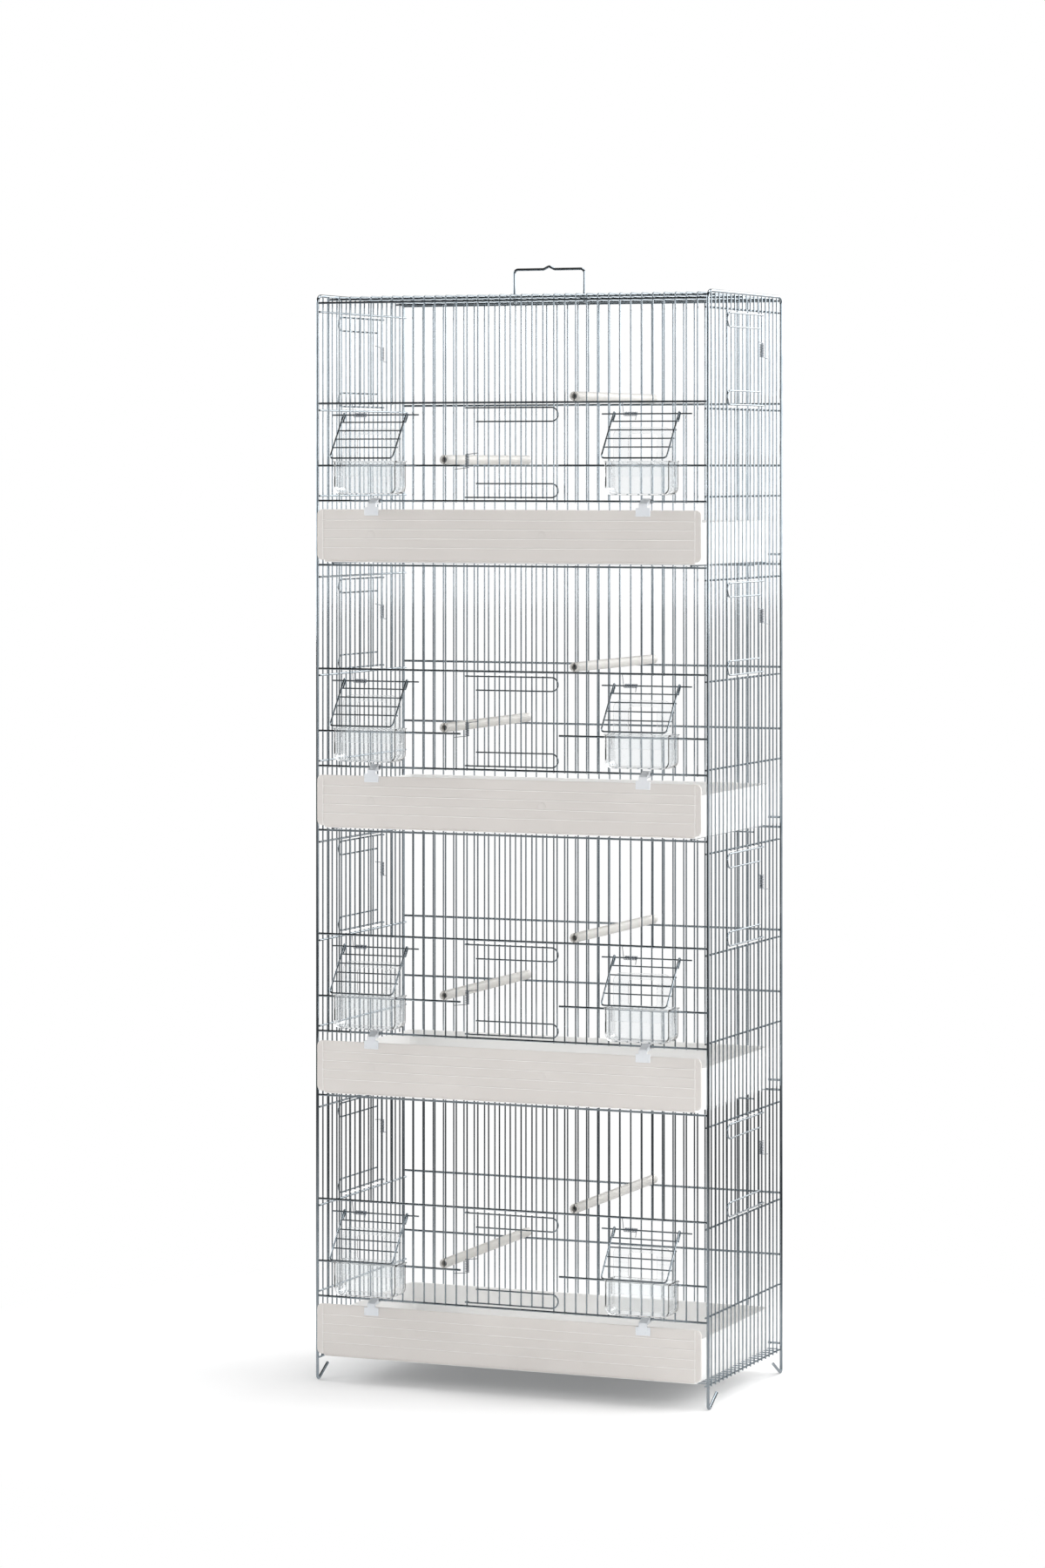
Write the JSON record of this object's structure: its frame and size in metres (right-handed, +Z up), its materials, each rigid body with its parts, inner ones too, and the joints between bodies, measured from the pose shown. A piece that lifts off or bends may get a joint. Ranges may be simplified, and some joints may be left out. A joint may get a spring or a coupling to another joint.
{
  "type": "breeding cage",
  "caption": "Tall wire breeding cage for small birds with stacked tiers, slide-out trays, hung feeders under hinged flaps, sprung front and side doors and a carry handle.",
  "frame": {"origin": "on the floor, at the centre of the four posts", "axes": "+Z up, -Y towards the front with the doors and feeders, +X towards the cage's right side seen from the front"},
  "size_m": [0.5546, 0.3316, 1.4733],
  "materials": {
    "wire": "bright zinc plate",
    "spring": "bright zinc plate",
    "tray": "satin moulded plastic",
    "clip": "white moulded plastic",
    "clear_plastic": "clear moulded plastic",
    "perch": "off-white moulded plastic"
  },
  "bodies": {
    "cage": {"side_frame_left": "wire", "side_frame_right": "wire", "side_grille_left": "wire", "side_grille_right": "wire", "front_grille_tier_1": "wire", "front_grille_tier_2": "wire", "front_grille_tier_3": "wire", "front_grille_tier_4": "wire", "back_grille": "wire", "roof_grille": "wire", "shelf_tier_1": "wire", "shelf_tier_2": "wire", "shelf_tier_3": "wire", "bottom_grille": "wire", "upper_perches": "perch", "lower_perches": "perch", "feeder_left_tier_1": "clear_plastic", "feeder_right_tier_1": "clear_plastic", "feeder_left_tier_2": "clear_plastic", "feeder_right_tier_2": "clear_plastic", "feeder_left_tier_3": "clear_plastic", "feeder_right_tier_3": "clear_plastic", "feeder_left_tier_4": "clear_plastic", "feeder_right_tier_4": "clear_plastic", "flap_springs": "spring", "front_door_springs": "spring", "side_door_springs": "spring"},
    "tray_tier_1": {"tray_tier_1": "tray"},
    "tray_tier_2": {"tray_tier_2": "tray"},
    "tray_tier_3": {"tray_tier_3": "tray"},
    "tray_tier_4": {"tray_tier_4": "tray"},
    "tray_clip_left_tier_1": {"tray_clip_left_tier_1": "clip"},
    "tray_clip_right_tier_1": {"tray_clip_right_tier_1": "clip"},
    "tray_clip_left_tier_2": {"tray_clip_left_tier_2": "clip"},
    "tray_clip_right_tier_2": {"tray_clip_right_tier_2": "clip"},
    "tray_clip_left_tier_3": {"tray_clip_left_tier_3": "clip"},
    "tray_clip_right_tier_3": {"tray_clip_right_tier_3": "clip"},
    "tray_clip_left_tier_4": {"tray_clip_left_tier_4": "clip"},
    "tray_clip_right_tier_4": {"tray_clip_right_tier_4": "clip"},
    "feeder_flap_left_tier_1": {"feeder_flap_left_tier_1": "wire"},
    "feeder_flap_right_tier_1": {"feeder_flap_right_tier_1": "wire"},
    "feeder_flap_left_tier_2": {"feeder_flap_left_tier_2": "wire"},
    "feeder_flap_right_tier_2": {"feeder_flap_right_tier_2": "wire"},
    "feeder_flap_left_tier_3": {"feeder_flap_left_tier_3": "wire"},
    "feeder_flap_right_tier_3": {"feeder_flap_right_tier_3": "wire"},
    "feeder_flap_left_tier_4": {"feeder_flap_left_tier_4": "wire"},
    "feeder_flap_right_tier_4": {"feeder_flap_right_tier_4": "wire"},
    "front_door_tier_1": {"front_door_tier_1": "wire"},
    "front_door_tier_2": {"front_door_tier_2": "wire"},
    "front_door_tier_3": {"front_door_tier_3": "wire"},
    "front_door_tier_4": {"front_door_tier_4": "wire"},
    "side_door_left_tier_1": {"side_door_left_tier_1": "wire"},
    "side_door_right_tier_1": {"side_door_right_tier_1": "wire"},
    "side_door_left_tier_2": {"side_door_left_tier_2": "wire"},
    "side_door_right_tier_2": {"side_door_right_tier_2": "wire"},
    "side_door_left_tier_3": {"side_door_left_tier_3": "wire"},
    "side_door_right_tier_3": {"side_door_right_tier_3": "wire"},
    "side_door_left_tier_4": {"side_door_left_tier_4": "wire"},
    "side_door_right_tier_4": {"side_door_right_tier_4": "wire"},
    "carry_handle": {"carry_handle": "wire"}
  },
  "joints": [
    {"name": "tray_tier_1_slide", "type": "slide", "parent": "cage", "child": "tray_tier_1", "axis": [0, -1, 0], "range_m": [0, 0.26]},
    {"name": "tray_clip_left_tier_1_hinge", "type": "hinge", "parent": "tray_tier_1", "child": "tray_clip_left_tier_1", "pos_m": [-0.19097, -0.14, 1.1615], "axis": [-1, 0, 0], "range_deg": [0, 42]},
    {"name": "feeder_flap_left_tier_1_hinge", "type": "hinge", "parent": "cage", "child": "feeder_flap_left_tier_1", "pos_m": [-0.19097, -0.1396, 1.2743], "axis": [-1, 0, 0], "range_deg": [0, 80], "stiffness_Nm_per_rad": 0.01, "springref_deg": -17.19, "deforming": ["flap_springs"]},
    {"name": "tray_clip_right_tier_1_hinge", "type": "hinge", "parent": "tray_tier_1", "child": "tray_clip_right_tier_1", "pos_m": [0.19097, -0.14, 1.1615], "axis": [-1, 0, 0], "range_deg": [0, 42]},
    {"name": "feeder_flap_right_tier_1_hinge", "type": "hinge", "parent": "cage", "child": "feeder_flap_right_tier_1", "pos_m": [0.19097, -0.1396, 1.2743], "axis": [-1, 0, 0], "range_deg": [0, 80], "stiffness_Nm_per_rad": 0.01, "springref_deg": -17.19, "deforming": ["flap_springs"]},
    {"name": "front_door_tier_1_hinge", "type": "hinge", "parent": "cage", "child": "front_door_tier_1", "pos_m": [-0.06111, -0.13755, 1.2248], "axis": [0, 0, -1], "range_deg": [0, 100], "stiffness_Nm_per_rad": 0.02, "springref_deg": -20.05, "deforming": ["front_door_springs"]},
    {"name": "side_door_left_tier_1_hinge", "type": "hinge", "parent": "cage", "child": "side_door_left_tier_1", "pos_m": [-0.274, 0.06632, 1.3458], "axis": [0, 0, -1], "range_deg": [0, 100], "stiffness_Nm_per_rad": 0.02, "springref_deg": -20.05, "deforming": ["side_door_springs"]},
    {"name": "side_door_right_tier_1_hinge", "type": "hinge", "parent": "cage", "child": "side_door_right_tier_1", "pos_m": [0.274, 0.06632, 1.3458], "axis": [0, 0, 1], "range_deg": [0, 100], "stiffness_Nm_per_rad": 0.02, "springref_deg": -20.05, "deforming": ["side_door_springs"]},
    {"name": "tray_tier_2_slide", "type": "slide", "parent": "cage", "child": "tray_tier_2", "axis": [0, -1, 0], "range_m": [0, 0.26]},
    {"name": "tray_clip_left_tier_2_hinge", "type": "hinge", "parent": "tray_tier_2", "child": "tray_clip_left_tier_2", "pos_m": [-0.19097, -0.14, 0.8115], "axis": [-1, 0, 0], "range_deg": [0, 42]},
    {"name": "feeder_flap_left_tier_2_hinge", "type": "hinge", "parent": "cage", "child": "feeder_flap_left_tier_2", "pos_m": [-0.19097, -0.1396, 0.9243], "axis": [-1, 0, 0], "range_deg": [0, 80], "stiffness_Nm_per_rad": 0.01, "springref_deg": -17.19, "deforming": ["flap_springs"]},
    {"name": "tray_clip_right_tier_2_hinge", "type": "hinge", "parent": "tray_tier_2", "child": "tray_clip_right_tier_2", "pos_m": [0.19097, -0.14, 0.8115], "axis": [-1, 0, 0], "range_deg": [0, 42]},
    {"name": "feeder_flap_right_tier_2_hinge", "type": "hinge", "parent": "cage", "child": "feeder_flap_right_tier_2", "pos_m": [0.19097, -0.1396, 0.9243], "axis": [-1, 0, 0], "range_deg": [0, 80], "stiffness_Nm_per_rad": 0.01, "springref_deg": -17.19, "deforming": ["flap_springs"]},
    {"name": "front_door_tier_2_hinge", "type": "hinge", "parent": "cage", "child": "front_door_tier_2", "pos_m": [-0.06111, -0.13755, 0.8748], "axis": [0, 0, -1], "range_deg": [0, 100], "stiffness_Nm_per_rad": 0.02, "springref_deg": -20.05, "deforming": ["front_door_springs"]},
    {"name": "side_door_left_tier_2_hinge", "type": "hinge", "parent": "cage", "child": "side_door_left_tier_2", "pos_m": [-0.274, 0.06632, 0.9958], "axis": [0, 0, -1], "range_deg": [0, 100], "stiffness_Nm_per_rad": 0.02, "springref_deg": -20.05, "deforming": ["side_door_springs"]},
    {"name": "side_door_right_tier_2_hinge", "type": "hinge", "parent": "cage", "child": "side_door_right_tier_2", "pos_m": [0.274, 0.06632, 0.9958], "axis": [0, 0, 1], "range_deg": [0, 100], "stiffness_Nm_per_rad": 0.02, "springref_deg": -20.05, "deforming": ["side_door_springs"]},
    {"name": "tray_tier_3_slide", "type": "slide", "parent": "cage", "child": "tray_tier_3", "axis": [0, -1, 0], "range_m": [0, 0.26]},
    {"name": "tray_clip_left_tier_3_hinge", "type": "hinge", "parent": "tray_tier_3", "child": "tray_clip_left_tier_3", "pos_m": [-0.19097, -0.14, 0.4615], "axis": [-1, 0, 0], "range_deg": [0, 42]},
    {"name": "feeder_flap_left_tier_3_hinge", "type": "hinge", "parent": "cage", "child": "feeder_flap_left_tier_3", "pos_m": [-0.19097, -0.1396, 0.5743], "axis": [-1, 0, 0], "range_deg": [0, 80], "stiffness_Nm_per_rad": 0.01, "springref_deg": -17.19, "deforming": ["flap_springs"]},
    {"name": "tray_clip_right_tier_3_hinge", "type": "hinge", "parent": "tray_tier_3", "child": "tray_clip_right_tier_3", "pos_m": [0.19097, -0.14, 0.4615], "axis": [-1, 0, 0], "range_deg": [0, 42]},
    {"name": "feeder_flap_right_tier_3_hinge", "type": "hinge", "parent": "cage", "child": "feeder_flap_right_tier_3", "pos_m": [0.19097, -0.1396, 0.5743], "axis": [-1, 0, 0], "range_deg": [0, 80], "stiffness_Nm_per_rad": 0.01, "springref_deg": -17.19, "deforming": ["flap_springs"]},
    {"name": "front_door_tier_3_hinge", "type": "hinge", "parent": "cage", "child": "front_door_tier_3", "pos_m": [-0.06111, -0.13755, 0.5248], "axis": [0, 0, -1], "range_deg": [0, 100], "stiffness_Nm_per_rad": 0.02, "springref_deg": -20.05, "deforming": ["front_door_springs"]},
    {"name": "side_door_left_tier_3_hinge", "type": "hinge", "parent": "cage", "child": "side_door_left_tier_3", "pos_m": [-0.274, 0.06632, 0.6458], "axis": [0, 0, -1], "range_deg": [0, 100], "stiffness_Nm_per_rad": 0.02, "springref_deg": -20.05, "deforming": ["side_door_springs"]},
    {"name": "side_door_right_tier_3_hinge", "type": "hinge", "parent": "cage", "child": "side_door_right_tier_3", "pos_m": [0.274, 0.06632, 0.6458], "axis": [0, 0, 1], "range_deg": [0, 100], "stiffness_Nm_per_rad": 0.02, "springref_deg": -20.05, "deforming": ["side_door_springs"]},
    {"name": "tray_tier_4_slide", "type": "slide", "parent": "cage", "child": "tray_tier_4", "axis": [0, -1, 0], "range_m": [0, 0.26]},
    {"name": "tray_clip_left_tier_4_hinge", "type": "hinge", "parent": "tray_tier_4", "child": "tray_clip_left_tier_4", "pos_m": [-0.19097, -0.14, 0.1115], "axis": [-1, 0, 0], "range_deg": [0, 42]},
    {"name": "feeder_flap_left_tier_4_hinge", "type": "hinge", "parent": "cage", "child": "feeder_flap_left_tier_4", "pos_m": [-0.19097, -0.1396, 0.2243], "axis": [-1, 0, 0], "range_deg": [0, 80], "stiffness_Nm_per_rad": 0.01, "springref_deg": -17.19, "deforming": ["flap_springs"]},
    {"name": "tray_clip_right_tier_4_hinge", "type": "hinge", "parent": "tray_tier_4", "child": "tray_clip_right_tier_4", "pos_m": [0.19097, -0.14, 0.1115], "axis": [-1, 0, 0], "range_deg": [0, 42]},
    {"name": "feeder_flap_right_tier_4_hinge", "type": "hinge", "parent": "cage", "child": "feeder_flap_right_tier_4", "pos_m": [0.19097, -0.1396, 0.2243], "axis": [-1, 0, 0], "range_deg": [0, 80], "stiffness_Nm_per_rad": 0.01, "springref_deg": -17.19, "deforming": ["flap_springs"]},
    {"name": "front_door_tier_4_hinge", "type": "hinge", "parent": "cage", "child": "front_door_tier_4", "pos_m": [-0.06111, -0.13755, 0.1748], "axis": [0, 0, -1], "range_deg": [0, 100], "stiffness_Nm_per_rad": 0.02, "springref_deg": -20.05, "deforming": ["front_door_springs"]},
    {"name": "side_door_left_tier_4_hinge", "type": "hinge", "parent": "cage", "child": "side_door_left_tier_4", "pos_m": [-0.274, 0.06632, 0.2958], "axis": [0, 0, -1], "range_deg": [0, 100], "stiffness_Nm_per_rad": 0.02, "springref_deg": -20.05, "deforming": ["side_door_springs"]},
    {"name": "side_door_right_tier_4_hinge", "type": "hinge", "parent": "cage", "child": "side_door_right_tier_4", "pos_m": [0.274, 0.06632, 0.2958], "axis": [0, 0, 1], "range_deg": [0, 100], "stiffness_Nm_per_rad": 0.02, "springref_deg": -20.05, "deforming": ["side_door_springs"]},
    {"name": "carry_handle_hinge", "type": "hinge", "parent": "cage", "child": "carry_handle", "pos_m": [0, 0, 1.4277], "axis": [1, 0, 0], "range_deg": [-85, 75]}
  ]
}
